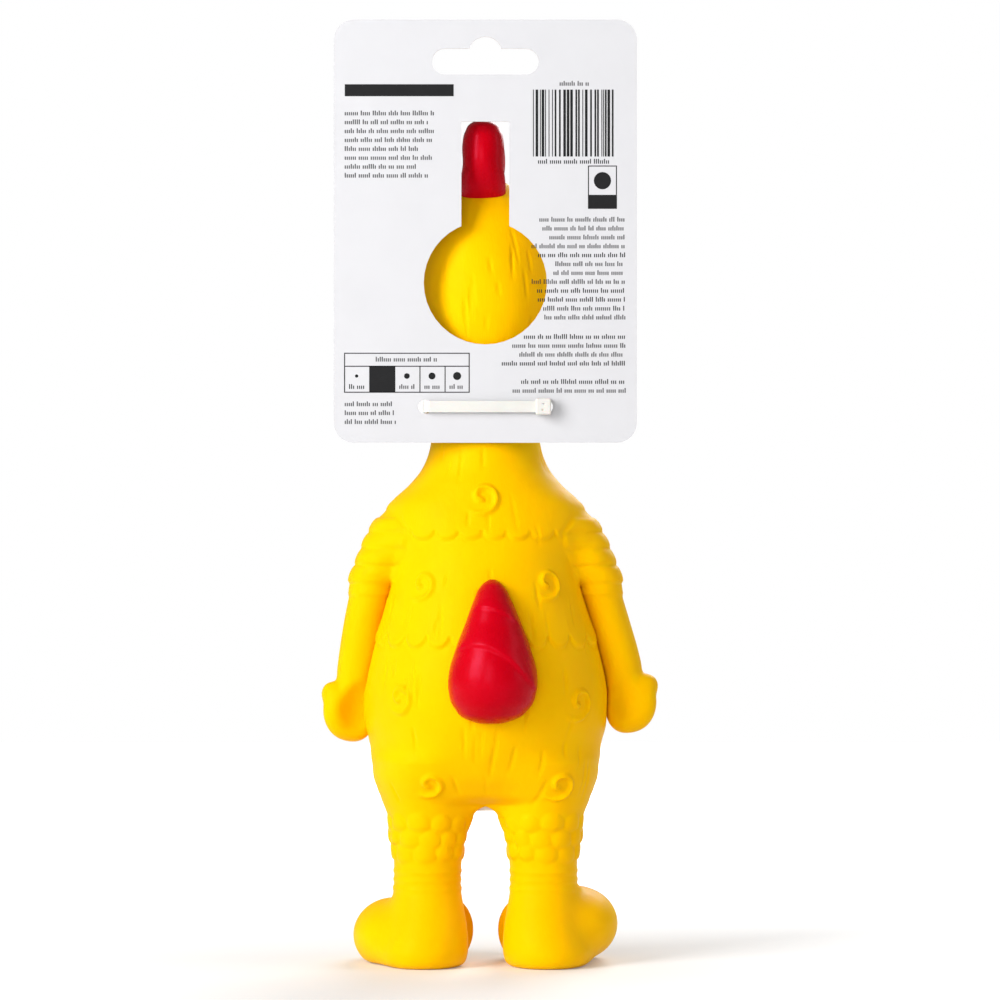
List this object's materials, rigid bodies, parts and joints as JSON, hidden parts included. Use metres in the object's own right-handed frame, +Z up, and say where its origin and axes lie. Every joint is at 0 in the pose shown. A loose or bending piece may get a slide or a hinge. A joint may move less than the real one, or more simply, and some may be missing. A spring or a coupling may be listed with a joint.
{
  "type": "rubber chicken",
  "caption": "Hollow latex squeaky chicken toy standing on its feet, with bending neck, wings and legs, a squeaker in its underside and a tied hang card behind its head.",
  "frame": {"origin": "middle of the object's box, on the floor under its soles", "axes": "+Z up, the chicken faces -Y, its left side is at +X, the card is at its back towards +Y"},
  "size_m": [0.1032, 0.0813, 0.2856],
  "materials": {
    "yellow_latex": "satin latex, smooth with a fine grain",
    "red_latex": "glossy red painted latex",
    "orange_latex": "satin orange painted latex",
    "eye_white": "glossy white painted latex",
    "eye_black": "glossy black painted latex",
    "squeaker_plastic": "natural moulded polyethylene",
    "reed_film": "thin clear polyester strip",
    "white_card": "coated white board over a brown core",
    "white_nylon": "natural moulded nylon"
  },
  "bodies": {
    "torso": {"torso_shell": "yellow_latex", "neck": "yellow_latex", "left_sleeve": "yellow_latex", "right_sleeve": "yellow_latex", "left_shank": "yellow_latex", "right_shank": "yellow_latex", "tail": "red_latex", "squeaker_cup": "squeaker_plastic", "squeaker_cap": "squeaker_plastic", "reed_tube": "squeaker_plastic"},
    "head": {"head_shell": "yellow_latex", "comb": "red_latex", "upper_beak": "orange_latex", "left_eye": "eye_white", "right_eye": "eye_white", "left_pupil": "eye_black", "right_pupil": "eye_black", "left_wattle": "red_latex", "right_wattle": "red_latex", "tie_strap": "white_nylon", "tie_head": "white_nylon"},
    "jaw": {"lower_beak": "orange_latex"},
    "card": {"hang_card": "white_card"},
    "left_arm": {"left_wing": "yellow_latex"},
    "right_arm": {"right_wing": "yellow_latex"},
    "left_leg": {"left_foot": "yellow_latex"},
    "right_leg": {"right_foot": "yellow_latex"},
    "reed": {"squeaker_reed": "reed_film"}
  },
  "joints": [
    {"name": "neck_nod", "type": "hinge", "parent": "torso", "child": "head", "pos_m": [0, -0.001, 0.152], "axis": [1, 0, 0], "range_deg": [-8, 20], "stiffness_Nm_per_rad": 0.2, "deforming": ["neck"]},
    {"name": "left_wing_flap", "type": "hinge", "parent": "torso", "child": "left_arm", "pos_m": [0.033, -0.002, 0.121], "axis": [0, -1, 0], "range_deg": [0, 40], "stiffness_Nm_per_rad": 0.02, "deforming": ["left_sleeve"]},
    {"name": "right_wing_flap", "type": "hinge", "parent": "torso", "child": "right_arm", "pos_m": [-0.033, -0.002, 0.121], "axis": [0, 1, 0], "range_deg": [0, 40], "stiffness_Nm_per_rad": 0.02, "deforming": ["right_sleeve"]},
    {"name": "left_leg_swing", "type": "hinge", "parent": "torso", "child": "left_leg", "pos_m": [0.0173, -0.0004, 0.035], "axis": [1, 0, 0], "range_deg": [-12, 12], "stiffness_Nm_per_rad": 0.35, "deforming": ["left_shank"]},
    {"name": "right_leg_swing", "type": "hinge", "parent": "torso", "child": "right_leg", "pos_m": [-0.0173, -0.0004, 0.035], "axis": [1, 0, 0], "range_deg": [-12, 12], "stiffness_Nm_per_rad": 0.35, "deforming": ["right_shank"]},
    {"name": "beak_open", "type": "hinge", "parent": "head", "child": "jaw", "pos_m": [0, -0.023, 0.1942], "axis": [1, 0, 0], "range_deg": [0, 12], "stiffness_Nm_per_rad": 0.002},
    {"name": "card_tilt", "type": "hinge", "parent": "head", "child": "card", "pos_m": [0, 0.01677, 0.1694], "axis": [-1, 0, 0], "range_deg": [0, 6], "stiffness_Nm_per_rad": 0.02},
    {"name": "reed_flex", "type": "hinge", "parent": "torso", "child": "reed", "pos_m": [0, -0.003, 0.057], "axis": [1, 0, 0], "range_deg": [-3, 3], "stiffness_Nm_per_rad": 0.000002}
  ]
}
